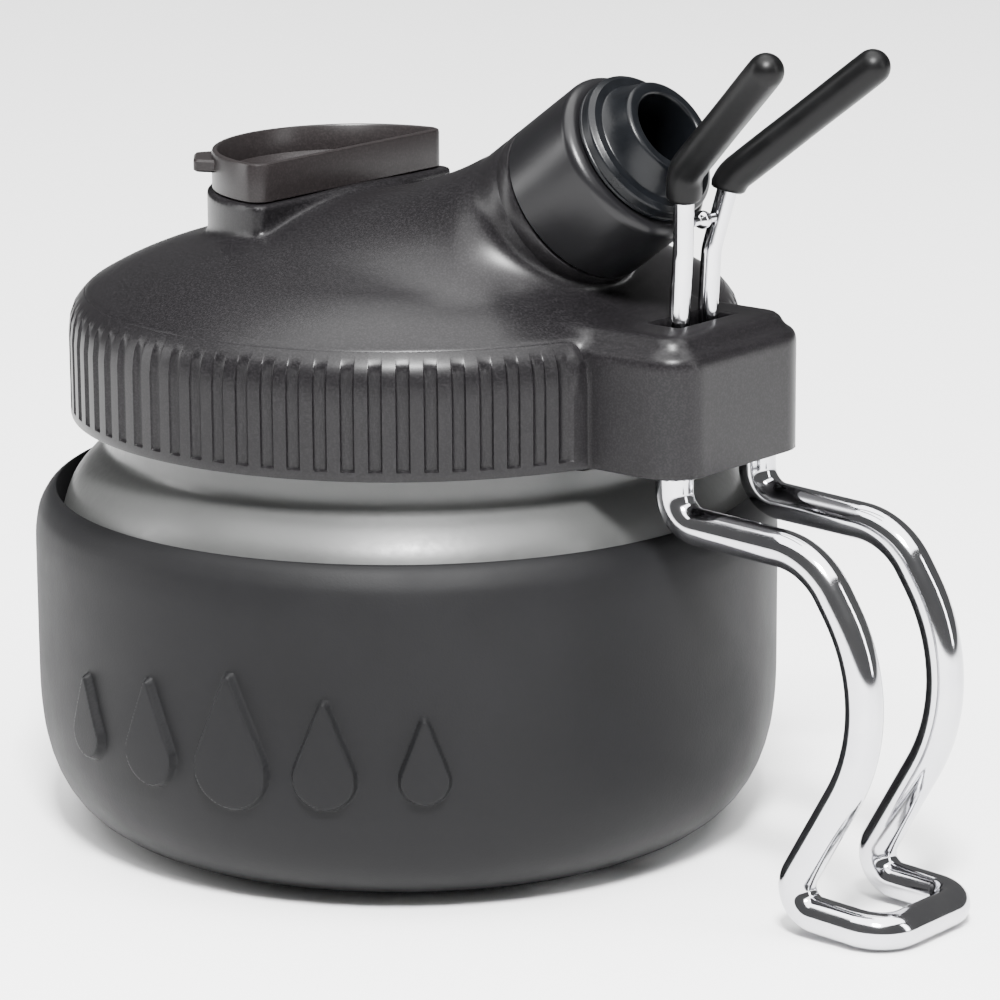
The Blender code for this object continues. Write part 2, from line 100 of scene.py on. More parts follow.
# Lid
LID_RADIUS = -LID_LOW[0]
LID_BOTTOM = LID_LOW[2]
LID_BORE = 50.4
GASKET_SEAT = 81.8
RIB_DEPTH = 0.75
RIB_HALF = 1.02             # half a groove's width
RIB_PITCH = 4.5             # degrees
RIB_START = 22.5            # first groove beside the block, degrees
RIDGE_TURN = 19.9           # plain ridge beside the block, degrees
RIDGE_HALF = 0.9            # half its width, degrees
RIDGE_HEIGHT = 0.35
SKIRT_END = 17.3            # where the ribbed skirt runs into the block, degrees
SKIRT_SINK = 1.1            # the lid's body lies this far behind the ribbed face
SKIRT_FACE = 51.0           # the skirt's outer face is all beyond this radius
VENT_X = -10.5
VENT_FLAT_X = -9.3
VENT_RADIUS = 23.1
VENT_WALL = 2.1
VENT_CUT = 74.0             # its hole starts here, well under the dome
VENT_FOOT = 88.0
VENT_TOP = 100.9
CUP_RADIUS = 22.3
CUP_WALL = 1.4

# Airbrush port, along its axis from the root
PORT_AXIS = np.array(COLLAR_TURN["axis"], float)
PORT_ROOT = np.array(COLLAR_TURN["pos_m"], float) / MM
PORT_RADIUS = 13.75
PORT_BORE = 9.2
PORT_START = -34.0          # where the neck and its bore start, under the dome
NECK_END = 2.55
SPIGOT_RADIUS = 11.5
SPIGOT_START = -10.0
SPIGOT_END = 12.2
COLLAR_END = 17.0

# Block, cradle and leg
BLOCK_X = LID_HIGH[0]
BLOCK_BACK = 40.0
BLOCK_HALF = 16.5
BLOCK_CORNER = 6.0
BLOCK_STEP = 85.8
BLOCK_TOP = 88.2
LEG_WIRE = 5.7
LEG_HALF = 10.3
LEG_X = 61.7
SOCKET_TOP = 81.0
PRONG_WIRE = 3.1
PRONG_X = 57.95
PRONG_HALF = 3.8
SLOT_SHIFT = -1.2           # from the prongs' feet to the slot's middle
SLOT_HALF = 2.9
SLOT_FLOOR = 71.5
GRIP_RADIUS = 2.7
GRIP_BORE = 1.8
GRIP_MOUTH = 107.2          # height of the grips' lower ends
PIN_HALF = 2.6
PIN_HEIGHT = 103.4
PIN_RADIUS = 0.72
BEAD_RADIUS = 1.4


def metres(points):
    return np.asarray(points, float) * MM


def smooth_step(value, low, high):
    """0 up to low, 1 from high on, and an even ramp between them."""
    t = np.clip((value - low) / (high - low), 0, 1)
    return t * t * (3 - 2 * t)


# ---------------------------------------------------------------- materials


class Finish:
    """A Principled material and short helpers for its procedural nodes."""

    def __init__(self, name, roughness, **inputs):
        self.material = bpy.data.materials.new(name)
        self.material.use_nodes = True
        self.tree = self.material.node_tree
        self.shader = self.tree.nodes["Principled BSDF"]
        self.set("Roughness", roughness)
        for key, value in inputs.items():
            self.set(key.replace("_", " "), value)
        self.place = self.tree.nodes.new("ShaderNodeTexCoord").outputs["Object"]
        self.normal = None

    def set(self, socket, value):
        self.shader.inputs[socket].default_value = value

    def noise(self, scale, detail=3.0, roughness=0.55, stretch=None):
        node = self.tree.nodes.new("ShaderNodeTexNoise")
        node.inputs["Scale"].default_value = scale
        node.inputs["Detail"].default_value = detail
        node.inputs["Roughness"].default_value = roughness
        self.tree.links.new(self.stretched(stretch), node.inputs["Vector"])
        return node.outputs["Fac"]

    def cells(self, scale):
        node = self.tree.nodes.new("ShaderNodeTexVoronoi")
        node.inputs["Scale"].default_value = scale
        self.tree.links.new(self.place, node.inputs["Vector"])
        return node.outputs["Distance"]

    def stretched(self, stretch):
        if stretch is None:
            return self.place
        node = self.tree.nodes.new("ShaderNodeMapping")
        node.inputs["Scale"].default_value = stretch
        self.tree.links.new(self.place, node.inputs["Vector"])
        return node.outputs["Vector"]

    def remap(self, value, low, high, to_low, to_high):
        node = self.tree.nodes.new("ShaderNodeMapRange")
        node.inputs["From Min"].default_value = low
        node.inputs["From Max"].default_value = high
        node.inputs["To Min"].default_value = to_low
        node.inputs["To Max"].default_value = to_high
        self.tree.links.new(value, node.inputs["Value"])
        return node.outputs["Result"]

    def tint(self, value, low, high, dark, light):
        """Base colour that runs from dark to light as value runs from low to high."""
        node = self.tree.nodes.new("ShaderNodeValToRGB")
        node.color_ramp.elements[0].position = low
        node.color_ramp.elements[1].position = high
        node.color_ramp.elements[0].color = (*dark, 1.0)
        node.color_ramp.elements[1].color = (*light, 1.0)
        self.tree.links.new(value, node.inputs["Fac"])
        self.tree.links.new(node.outputs["Color"], self.shader.inputs["Base Color"])
        # The plain colour, for a program that reads no nodes.
        self.set("Base Color", (*np.mean([dark, light], axis=0).tolist(), 1.0))

    def vary_roughness(self, value, low, high, to_low, to_high):
        result = self.remap(value, low, high, to_low, to_high)
        self.tree.links.new(result, self.shader.inputs["Roughness"])

    def bump(self, value, strength, distance):
        node = self.tree.nodes.new("ShaderNodeBump")
        node.inputs["Strength"].default_value = strength
        node.inputs["Distance"].default_value = distance
        self.tree.links.new(value, node.inputs["Height"])
        if self.normal:
            self.tree.links.new(self.normal, node.inputs["Normal"])
        self.normal = node.outputs["Normal"]
        self.tree.links.new(self.normal, self.shader.inputs["Normal"])


def silicone_finish():
    finish = Finish("sleeve_silicone", 0.50, Specular_IOR_Level=0.12)
    smudge = finish.noise(38.0, 5.0, 0.6)
    finish.tint(smudge, 0.35, 0.72, (0.0028, 0.0028, 0.0031), (0.0044, 0.0044, 0.0049))
    finish.vary_roughness(smudge, 0.3, 0.75, 0.50, 0.64)
    finish.bump(finish.noise(2600.0, 2.0), 0.18, 0.00012)
    finish.bump(finish.noise(240.0, 2.0), 0.08, 0.0003)
    return finish.material


def glass_finish():
    finish = Finish(
        "jar_frosted_glass", 0.40,
        Transmission_Weight=0.55, IOR=1.47, Coat_Weight=0.10, Coat_Roughness=0.28,
    )
    frost = finish.noise(900.0, 3.0)
    finish.tint(finish.noise(60.0, 4.0), 0.3, 0.75, (0.070, 0.071, 0.070), (0.088, 0.090, 0.088))
    finish.vary_roughness(frost, 0.3, 0.7, 0.36, 0.46)
    finish.bump(frost, 0.10, 0.0002)
    return finish.material


def speckled_plastic(name, dark, light, roughness, specular):
    """Smoky moulded plastic with a fine fleck in it, whose light flecks are partly a painted sparkle of
    glints.
    """
    finish = Finish(name, roughness, Specular_IOR_Level=specular)
    fleck_and_sparkle = finish.noise(3200.0, 1.0, 0.5)
    # Light flecks in the base colour: partly the plastic's own fleck, partly painted sparkle (painted
    # glints).
    finish.tint(fleck_and_sparkle, 0.42, 0.72, dark, light)
    finish.vary_roughness(finish.noise(45.0, 3.0), 0.3, 0.75, roughness - 0.02, roughness + 0.03)
    finish.bump(finish.noise(700.0, 1.0), 0.05, 0.00003)
    return finish.material


def smooth_plastic(name, colour, roughness):
    finish = Finish(name, roughness, Specular_IOR_Level=0.20)
    cloud = finish.noise(70.0, 4.0)
    finish.tint(cloud, 0.3, 0.8, colour, tuple(c * 1.25 for c in colour))
    finish.vary_roughness(cloud, 0.3, 0.75, roughness - 0.04, roughness + 0.05)
    finish.bump(finish.noise(2200.0, 2.0), 0.10, 0.0001)
    return finish.material


def rubber_finish(name, colour, roughness):
    finish = Finish(name, roughness, Specular_IOR_Level=0.16)
    bloom = finish.noise(160.0, 5.0, 0.65)
    finish.tint(bloom, 0.35, 0.75, colour, tuple(c * 1.55 for c in colour))
    finish.vary_roughness(bloom, 0.3, 0.75, roughness - 0.05, roughness + 0.08)
    finish.bump(finish.noise(1800.0, 3.0), 0.14, 0.00012)
    return finish.material


def chrome_finish(name):
    finish = Finish(name, 0.10, Metallic=1.0)
    haze = finish.noise(90.0, 5.0, 0.6)
    finish.tint(haze, 0.3, 0.8, (0.52, 0.52, 0.55), (0.62, 0.62, 0.63))
    finish.vary_roughness(haze, 0.35, 0.75, 0.07, 0.13)
    finish.bump(finish.noise(55.0, 2.0), 0.05, 0.0005)
    return finish.material


def vinyl_finish():
    finish = Finish("grip_vinyl", 0.36, Specular_IOR_Level=0.12)
    wave = finish.noise(210.0, 3.0)
    finish.tint(wave, 0.3, 0.8, (0.0014, 0.0014, 0.0015), (0.0026, 0.0026, 0.0028))
    finish.vary_roughness(wave, 0.3, 0.75, 0.34, 0.44)
    finish.bump(wave, 0.12, 0.0005)
    finish.bump(finish.noise(1700.0, 2.0), 0.08, 0.0001)
    return finish.material


def foam_finish():
    finish = Finish("filter_foam", 0.95)
    pore_depth_and_shade = finish.cells(900.0)
    # Painted shade: the base colour darkens into the sunken pore centres that the bump makes.
    finish.tint(pore_depth_and_shade, 0.1, 0.6, (0.008, 0.008, 0.009), (0.06, 0.06, 0.065))
    finish.bump(pore_depth_and_shade, 0.8, 0.0006)
    return finish.material


def felt_finish():
    finish = Finish("filter_felt", 0.95, Sheen_Weight=0.4)
    fibres = finish.noise(800.0, 5.0, 0.75, stretch=(1.0, 3.0, 1.0))
    finish.tint(fibres, 0.3, 0.7, (0.55, 0.55, 0.52), (0.82, 0.82, 0.79))
    finish.bump(fibres, 0.6, 0.0005)
    return finish.material


# ---------------------------------------------------------------- mesh helpers


def mesh_piece(name, points, faces, material, body, nodes=(), sharp=38.0):
    """A mesh object from points in millimetres, riding on a body and standing for CAD nodes."""
    mesh = bpy.data.meshes.new(name)
    mesh.from_pydata(metres(points).tolist(), [], [list(map(int, face)) for face in faces])
    data = bmesh.new()
    data.from_mesh(mesh)
    bmesh.ops.recalc_face_normals(data, faces=data.faces)
    data.to_mesh(mesh)
    data.free()
    mesh.shade_smooth()
    mesh.set_sharp_from_angle(angle=math.radians(sharp))
    mesh.materials.append(material)
    piece = bpy.data.objects.new(name, mesh)
    bpy.context.scene.collection.objects.link(piece)
    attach(piece, body)
    if nodes:
        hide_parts(*nodes)


def ring_faces(rings, count, closed):
    """Quads between rings of count points. closed joins the last ring to the first."""
    ring = np.arange(rings if closed else rings - 1)
    r, c = np.meshgrid(ring, np.arange(count), indexing="ij")
    up = (r + 1) % rings
    side = (c + 1) % count
    quad = [r * count + c, r * count + side, up * count + side, up * count + c]
    return np.stack(quad, -1).reshape(-1, 4)


def capped_faces(rings, count):
    """Quads between rings of count points, with a cap on the first ring and on the last."""
    faces = [list(face) for face in ring_faces(rings, count, False)]
    last = (rings - 1) * count
    return faces + [list(range(count)), list(range(last, last + count))]


def arc_points(centre, radius, start, end, steps):
    turn = np.radians(np.linspace(start, end, steps + 1))
    return [(centre[0] + radius * math.cos(a), centre[1] + radius * math.sin(a)) for a in turn]


def smooth_line(points, steps=4):
    """Catmull-Rom line through the points."""
    line = np.array(points, float)
    padded = np.vstack([2 * line[0] - line[1], line, 2 * line[-1] - line[-2]])
    result = []
    for i in range(1, len(padded) - 2):
        a, b, c, d = padded[i - 1:i + 3]
        for t in np.linspace(0, 1, steps, endpoint=False):
            square = (2 * a - 5 * b + 4 * c - d) * t**2
            cube = (3 * b - a - 3 * c + d) * t**3
            result.append(tuple(0.5 * (2 * b + (c - a) * t + square + cube)))
    result.append(tuple(line[-1]))
    return result


def filleted(corners, steps):
    """Closed outline of (a, b, radius) corners with an arc at each corner that has a radius."""
    outline = []
    count = len(corners)
    for index, (a, b, radius) in enumerate(corners):
        corner = np.array([a, b], float)
        if radius == 0:
            outline.append((a, b))
            continue
        back = np.array(corners[index - 1][:2], float) - corner
        ahead = np.array(corners[(index + 1) % count][:2], float) - corner
        reach_limit = 0.49 * min(np.linalg.norm(back), np.linalg.norm(ahead))
        back /= np.linalg.norm(back)
        ahead /= np.linalg.norm(ahead)
        half = math.acos(np.clip(back @ ahead, -1, 1)) / 2
        reach = min(radius / math.tan(half), reach_limit)
        radius = reach * math.tan(half)
        middle = (back + ahead) / np.linalg.norm(back + ahead)
        centre = corner + middle * radius / math.sin(half)
        first = corner + back * reach - centre
        last = corner + ahead * reach - centre
        start = math.atan2(first[1], first[0])
        swing = math.atan2(last[1], last[0]) - start
        swing = (swing + math.pi) % (2 * math.pi) - math.pi
        for i in range(steps + 1):
            angle = start + swing * i / steps
            outline.append((centre[0] + radius * math.cos(angle), centre[1] + radius * math.sin(angle)))
    return outline


def turned_points(outline, turns):
    """Points of an outline of (radius, height) turned to each angle, outline by outline."""
    line = np.array(outline, float)
    cos, sin = np.cos(turns)[:, None], np.sin(turns)[:, None]
    heights = np.broadcast_to(line[:, 1], (len(turns), len(line)))
    return np.stack([line[:, 0] * cos, line[:, 0] * sin, heights], -1)


def turned(name, outline, material, body, nodes=(), sides=128, place=None):
    """Ring-shaped piece turned about Z from a closed outline. place moves it into the frame."""
    turns = np.linspace(0, 2 * math.pi, sides, endpoint=False)
    points = turned_points(outline, turns).reshape(-1, 3)
    faces = ring_faces(sides, len(outline), True)
    if place is not None:
        points = place(points)
    mesh_piece(name, points, faces, material, body, nodes)


def on_port(points):
    """From port coordinates, with the axis along Z from the port's root, to the frame."""
    side = np.array([0.0, 1.0, 0.0])
    up = np.cross(PORT_AXIS, side)
    return PORT_ROOT + points[:, :1] * side + points[:, 1:2] * up + points[:, 2:] * PORT_AXIS


def rounded_path(corners, steps):
    """Centre line through corners [(point, bend radius)], with an arc at each inner corner."""
    path = [Vector(corners[0][0])]
    for index in range(1, len(corners) - 1):
        corner = Vector(corners[index][0])
        radius = corners[index][1]
        back = (Vector(corners[index - 1][0]) - corner).normalized()
        ahead = (Vector(corners[index + 1][0]) - corner).normalized()
        half = back.angle(ahead) / 2
        centre = corner + (back + ahead).normalized() * radius / math.sin(half)
        first = corner + back * radius / math.tan(half)
        last = corner + ahead * radius / math.tan(half)
        swing = (first - centre).angle(last - centre)
        axis = (first - centre).cross(last - centre).normalized()
        for i in range(steps + 1):
            path.append(centre + Matrix.Rotation(swing * i / steps, 3, axis) @ (first - centre))
    path.append(Vector(corners[-1][0]))
    return path


def tube_rings(path, radii, sides):
    """Rings of points round a path, each turned as little as possible from the one before."""
    tangents = []
    for before, after in zip(path[:1] + path[:-1], path[1:] + path[-1:]):
        tangents.append((after - before).normalized())
    side = tangents[0].orthogonal().normalized()
    rings = []
    turn = np.linspace(0, 2 * math.pi, sides, endpoint=False)
    for index, (point, tangent, radius) in enumerate(zip(path, tangents, radii)):
        if index:
            side = tangents[index - 1].rotation_difference(tangent) @ side
        side = (side - tangent * side.dot(tangent)).normalized()
        up = tangent.cross(side)
        ring = np.outer(np.cos(turn), side) + np.outer(np.sin(turn), up)
        rings.append(np.array(point) + radius * ring)
    return np.array(rings)


def tube(name, path, radii, material, body, nodes, sides):
    """Round piece along a path, closed by a flat cap at each end."""
    rings = tube_rings(path, radii, sides)
    faces = capped_faces(len(path), sides)
    mesh_piece(name, rings.reshape(-1, 3), faces, material, body, nodes, 50.0)


def soft_ends(path, radius, round_by, steps=5):
    """The path with its ends rounded over: (points, radii)."""
    first = (path[1] - path[0]).normalized()
    last = (path[-1] - path[-2]).normalized()
    head, tail = [], []
    for i in range(steps):
        angle = math.pi / 2 * i / steps
        shrink = radius - round_by + round_by * math.sin(angle)
        head.append((path[0] + first * round_by * (1 - math.cos(angle)), shrink))
        tail.append((path[-1] - last * round_by * (1 - math.cos(angle)), shrink))
    head.append((path[0] + first * round_by, radius))
    tail.append((path[-1] - last * round_by, radius))
    line = head + [(point, radius) for point in path[1:-1]] + tail[::-1]
    return [point for point, _ in line], [size for _, size in line]


# ---------------------------------------------------------------- sleeve and jar


def sleeve_radius(height, inset=0.0):
    """Outer radius of the sleeve at a height, or that of a surface inset from it."""
    if height >= CORNER_RISE:
        return SLEEVE_RADIUS - inset
    drop = min((CORNER_RISE - height) / (CORNER_RISE - inset), 1.0)
    run = CORNER_RUN * (1 - (1 - drop**CORNER_POWER) ** (1 / CORNER_POWER))
    return SLEEVE_RADIUS - inset - run


def corner_line(bottom, inset, steps):
    """Points up the rounded lower corner, closest together near the base."""
    span = CORNER_RISE - bottom
    heights = [bottom + span * (1 - math.cos(math.pi / 2 * i / steps)) for i in range(steps + 1)]
    return [(sleeve_radius(h, inset), h) for h in heights]


def drop_distance(across, up, height, big, small):
    """Signed distance to a teardrop: a big circle below and a small one above it."""
    across = np.abs(across)
    lean = (big - small) / height
    fall = math.sqrt(1 - lean * lean)
    along = -lean * across + fall * up
    bottom = np.hypot(across, up) - big
    top = np.hypot(across, up - height) - small
    flank = fall * across + lean * up - big
    return np.where(along < 0, bottom, np.where(along > fall * height, top, flank))


def motif_height(turn, height):
    """How far the row of raised droplets stands out of the sleeve."""
    along = (turn - MOTIF_MIDDLE) * SLEEVE_RADIUS
    nearest = np.inf
    for index, scale in enumerate(MOTIF_SCALES):
        across = along - (index - len(MOTIF_SCALES) // 2) * MOTIF_STEP
        up = height - MOTIF_FOOT
        drop = drop_distance(across, up, DROP_HEIGHT * scale, DROP_RADIUS * scale, DROP_TIP)
        nearest = np.minimum(nearest, drop)
    return MOTIF_RISE * smooth_step(-nearest, -0.25, 0.45)


def sleeve_rim():
    """From the outer wall up to the rim and over it to the inner wall."""
    shoulder = [(58.95, 48.5), (58.7, 50.3), (58.3, 52.0), (57.4, 53.7), (56.7, 54.6), (56.1, 55.1)]
    edge = [(55.85, 0.04), (55.7, 0.0), (55.58, 0.04), (55.5, 0.2)]
    return smooth_line(shoulder, 3) + [(radius, SLEEVE_TOP - drop) for radius, drop in edge]


def make_sleeve(material):
    corner = [(r, h) for r, h in corner_line(0.0, 0.0, 14) if h < 15.0]
    motif = [(sleeve_radius(h), h) for h in np.arange(15.5, CORNER_RISE + 0.2, MOTIF_ROW)]
    motif += [(SLEEVE_RADIUS, h) for h in np.arange(CORNER_RISE + MOTIF_ROW, 40.0, MOTIF_ROW)]
    wall = [(SLEEVE_RADIUS, h) for h in (43.0, 46.5)]
    outer = corner + motif + wall
    base = [(NEAR_AXIS, 0.0), (20.0, 0.0), (outer[0][0] - 1.5, 0.0)]
    inner = corner_line(SLEEVE_FLOOR, SLEEVE_WALL, 12)[::-1]
    floor = [(20.0, SLEEVE_FLOOR), (NEAR_AXIS, SLEEVE_FLOOR)]
    outline = base + outer + sleeve_rim() + inner + floor

    half = 2.75 * MOTIF_STEP / SLEEVE_RADIUS
    fine = np.arange(MOTIF_MIDDLE - half, MOTIF_MIDDLE + half, 0.25 / SLEEVE_RADIUS)
    coarse = np.linspace(fine[-1], fine[0] + 2 * math.pi, 110)[1:-1]
    turns = np.concatenate([fine, coarse])
    points = turned_points(outline, turns)
    raised = slice(len(base), len(base) + len(outer))
    rise = motif_height(turns[:, None], points[:, raised, 2])
    out = np.stack([np.cos(turns), np.sin(turns), np.zeros(len(turns))], -1)
    points[:, raised] += rise[..., None] * out[:, None, :]
    faces = ring_faces(len(turns), len(outline), True)
    mesh_piece("sleeve_soft", points.reshape(-1, 3), faces, material, "sleeve", ["sleeve"])


def make_jar(material):
    inset = SLEEVE_WALL + GAP
    base = SLEEVE_FLOOR + GAP
    floor = base + 1.3 * GLASS
    shoulder = [(55.2, 46.5), (54.9, 49.5), (54.1, 53.0), (52.8, 56.2), (50.9, 58.7)]
    shoulder += [(49.0, 60.6), (47.8, 61.8), (47.45, 63.0), (47.4, 65.0)]
    hollow = [(44.4, 64.0), (44.9, 60.5), (47.2, 57.6), (49.8, 54.8), (51.4, 51.0), (52.0, 46.5)]
    outline = [(NEAR_AXIS, base), (18.0, base)] + corner_line(base, inset, 14) + smooth_line(shoulder)
    outline += arc_points((NECK_RADIUS - GLASS / 2, JAR_HIGH[2] - GLASS / 2), GLASS / 2, 0, 180, 10)
    outline += smooth_line(hollow) + corner_line(floor, inset + GLASS, 12)[::-1]
    outline += [(18.0, floor), (NEAR_AXIS, floor)]
    turned("jar_glass", outline, material, "jar", ["jar"], 160)


def make_thread(material):
    """The jar's screw thread, a rounded ridge wound round the neck."""
    steps, sides = 200, 9
    rings = []
    for i in range(steps + 1):
        turns = THREAD_TURNS * i / steps
        angle = 2 * math.pi * turns
        fade = min(1.0, min(i, steps - i) / 12)
        out = np.array([math.cos(angle), math.sin(angle), 0.0])
        for swing in np.linspace(0, math.pi, sides):
            radius = NECK_RADIUS - 0.3 + THREAD_HEIGHT * fade * math.sin(swing)
            height = THREAD_START + THREAD_PITCH * turns - THREAD_HALF * math.cos(swing)
            rings.append(out * radius + np.array([0, 0, height]))
    faces = capped_faces(steps + 1, sides)
    mesh_piece("jar_thread", rings, faces, material, "jar")


# ---------------------------------------------------------------- lid as a distance field


def blend_join(a, b, width):
    """Union of two distances with a rounded inner corner of about this width."""
    h = np.clip(0.5 + 0.5 * (b - a) / width, 0, 1)
    return b + (a - b) * h - width * h * (1 - h)


def blend_common(a, b, width):
    """The part that two distances share, with its outer corner rounded in the same way."""
    return -blend_join(-a, -b, width)


class Turned:
    """Distance to a solid of revolution, read from a table made from its outline."""

    STEP = 0.25
    MARGIN = 24.0

    def __init__(self, outline):
        line = np.array(outline, float)
        self.low = line[:, 1].min() - self.MARGIN
        rows = int((line[:, 1].max() + self.MARGIN - self.low) / self.STEP)
        columns = int((line[:, 0].max() + self.MARGIN) / self.STEP)
        radii = np.arange(columns) * self.STEP
        heights = self.low + np.arange(rows) * self.STEP
        r, z = np.meshgrid(radii, heights, indexing="ij")
        best = np.full(r.shape, np.inf)
        inside = np.zeros(r.shape, bool)
        for (ar, az), (br, bz) in zip(line, np.roll(line, -1, axis=0)):
            dr, dz = br - ar, bz - az
            # The axis isn't a face of the solid, so it gives no distance.
            if ar > 0 or br > 0:
                t = np.clip(((r - ar) * dr + (z - az) * dz) / (dr * dr + dz * dz), 0, 1)
                best = np.minimum(best, np.hypot(r - ar - t * dr, z - az - t * dz))
            if az != bz:
                inside ^= ((az > z) != (bz > z)) & (r < ar + (z - az) * dr / dz)
        self.table = np.where(inside, -best, best)

    def __call__(self, r, z):
        """The table's value at each point, interpolated both ways."""
        table = self.table
        u = np.clip(r / self.STEP, 0, table.shape[0] - 1.001)
        v = np.clip((z - self.low) / self.STEP, 0, table.shape[1] - 1.001)
        i, j = u.astype(int), v.astype(int)
        u, v = u - i, v - j
        near = table[i, j] * (1 - v) + table[i, j + 1] * v
        far = table[i + 1, j] * (1 - v) + table[i + 1, j + 1] * v
        return near * (1 - u) + far * u


def lid_shell():
    """The dome with the skirt's inner wall below it, and the hollow under the two."""
    dome = [(52.9, 80.0), (52.6, 82.6), (51.9, 84.4), (50.3, 86.3), (47.9, 87.8), (44.8, 89.4)]
    dome += [(41.5, 90.8), (38.4, 91.9), (35.2, 92.8), (29.0, 94.6), (23.0, 96.5), (16.0, 98.5)]
    dome = smooth_line(dome + [(9.0, 99.6), (0.0, 100.0)], 3)
    sunk = [(r - SKIRT_SINK * (1 - smooth_step(z, 84.6, 86.6)), z) for r, z in dome]
    outer = [(0.0, LID_BOTTOM), (LID_RADIUS - SKIRT_SINK, LID_BOTTOM)] + sunk
    roof = [(max(r - 1.2, 0.0), z - 2.5) for r, z in dome if r < 46.0]
    below = LID_BOTTOM - 6.0
    hollow = [(0.0, below), (LID_BORE, below), (LID_BORE, GASKET_SEAT), (46.2, GASKET_SEAT), (46.0, 85.6)]
    return Turned(outer), Turned(hollow + roof)


def d_distance(x, y, radius, flat, corner):
    """Distance to a D: a circle about the vent's axis, cut by a flat side facing the port."""
    circle = np.hypot(x - VENT_X, y) - radius
    return blend_common(circle, x - flat, corner)


class Lid:
    """Distance to the lid's body in millimetres, for points with X, Y and Z in the last axis."""

    def __init__(self):
        self.outer, self.hollow = lid_shell()

    def __call__(self, p):
        x, y, z = p[..., 0], p[..., 1], p[..., 2]
        radius = np.hypot(x, y)
        chimney = d_distance(x, y, VENT_RADIUS, VENT_FLAT_X, 1.6)
        chimney = blend_common(np.maximum(chimney, VENT_FOOT - z), z - VENT_TOP, 0.8)
        body = blend_join(self.outer(radius, z), chimney, 1.3)

        # Place along the port's axis and distance from it.
        ahead = (x - PORT_ROOT[0]) * PORT_AXIS[0] + (z - PORT_ROOT[2]) * PORT_AXIS[2]
        above = (z - PORT_ROOT[2]) * PORT_AXIS[0] - (x - PORT_ROOT[0]) * PORT_AXIS[2]
        off = np.hypot(above, y)
        neck = off - PORT_RADIUS + 0.12 * smooth_step(ahead, -1.5, 0.0)
        fillet = 2.0 + 13.0 * smooth_step(-ahead, -2.0, 9.0)
        neck = blend_join(body, np.maximum(neck, PORT_START - ahead), fillet)
        # The fillet stops just behind the neck's end plane, which make_neck_end covers.
        body = np.minimum(body, np.maximum(neck, ahead - NECK_END + 0.35))
        spigot = np.maximum(off - SPIGOT_RADIUS, np.maximum(ahead - SPIGOT_END, SPIGOT_START - ahead))
        body = blend_join(np.minimum(body, spigot), self.block(x, y, z), 1.8)

        body = np.maximum(body, -self.hollow(radius, z))
        inner = d_distance(x, y, VENT_RADIUS - VENT_WALL, VENT_FLAT_X - VENT_WALL, 2.0)
        body = blend_common(body, -np.maximum(inner, VENT_CUT - z), 0.5)
        body = np.maximum(body, -np.maximum(off - PORT_BORE, PORT_START - ahead))
        for side in (-1, 1):
            socket = np.hypot(x - LEG_X, y - side * LEG_HALF) - LEG_WIRE / 2 - GAP
            body = blend_common(body, -np.maximum(socket, z - SOCKET_TOP), 0.4)
        across = np.abs(y) - PRONG_HALF - PRONG_WIRE / 2 - 1.2
        slot = np.maximum(np.abs(x - PRONG_X - SLOT_SHIFT) - SLOT_HALF, across)
        return blend_common(body, -np.maximum(slot, SLOT_FLOOR - z), 0.6)

    def block(self, x, y, z):
        """The block that holds the wires, with its low step below a raised top."""
        across = np.abs(y) - BLOCK_HALF + BLOCK_CORNER
        along = np.abs(x - (BLOCK_X + BLOCK_BACK) / 2) - (BLOCK_X - BLOCK_BACK) / 2 + BLOCK_CORNER
        outside = np.hypot(np.maximum(across, 0), np.maximum(along, 0))
        plan = outside + np.minimum(np.maximum(across, along), 0) - BLOCK_CORNER
        lower = blend_common(plan, z - BLOCK_STEP - 0.2, 2.4)
        upper = blend_common(plan + 1.9, z - BLOCK_TOP, 2.8)
        return np.maximum(blend_join(lower, upper, 1.0), LID_BOTTOM - z)


def surface_net(field, low, high, step):
    """Quads of the zero surface of a distance field: one point in each cell that it crosses."""
    axes = [np.arange(a, b + step, step) for a, b in zip(low, high)]
    counts = [len(axis) for axis in axes]
    values = np.empty(counts)
    for start in range(0, counts[0], 32):
        part = np.stack(np.meshgrid(axes[0][start:start + 32], axes[1], axes[2], indexing="ij"), -1)
        values[start:start + 32] = field(part)
    sign = values < 0
    cells = tuple(count - 1 for count in counts)
    total = np.zeros(cells + (3,))
    number = np.zeros(cells)
    crossings = []
    for axis in range(3):
        first = [slice(None)] * 3
        second = [slice(None)] * 3
        first[axis] = slice(0, -1)
        second[axis] = slice(1, None)
        a, b = values[tuple(first)], values[tuple(second)]
        change = sign[tuple(first)] != sign[tuple(second)]
        at = np.argwhere(change)
        point = at.astype(float)
        point[:, axis] += a[change] / (a[change] - b[change])
        others = [i for i in range(3) if i != axis]
        for du in (0, 1):
            for dv in (0, 1):
                cell = at.copy()
                cell[:, others[0]] -= du
                cell[:, others[1]] -= dv
                good = ((cell >= 0) & (cell < np.array(cells))).all(1)
                np.add.at(total, tuple(cell[good].T), point[good])
                np.add.at(number, tuple(cell[good].T), 1.0)
        crossings.append((axis, others, at, sign[tuple(first)][change]))
    used = number > 0
    index = np.full(cells, -1)
    index[used] = np.arange(used.sum())
    points = total[used] / number[used][:, None] * step + np.array(low)
    faces = []
    for axis, others, at, inward in crossings:
        place, last = at[:, others], np.array(cells)[others]
        inner = ((place > 0) & (place < last)).all(1)
        at, inward = at[inner], inward[inner]
        corners = []
        for du, dv in ((1, 1), (0, 1), (0, 0), (1, 0)):
            cell = at.copy()
            cell[:, others[0]] -= du
            cell[:, others[1]] -= dv
            corners.append(index[tuple(cell.T)])
        quads = np.stack(corners, 1)
        backward = inward if axis == 1 else ~inward
        quads[backward] = quads[backward][:, ::-1]
        faces.append(quads)
    return points, np.concatenate(faces)


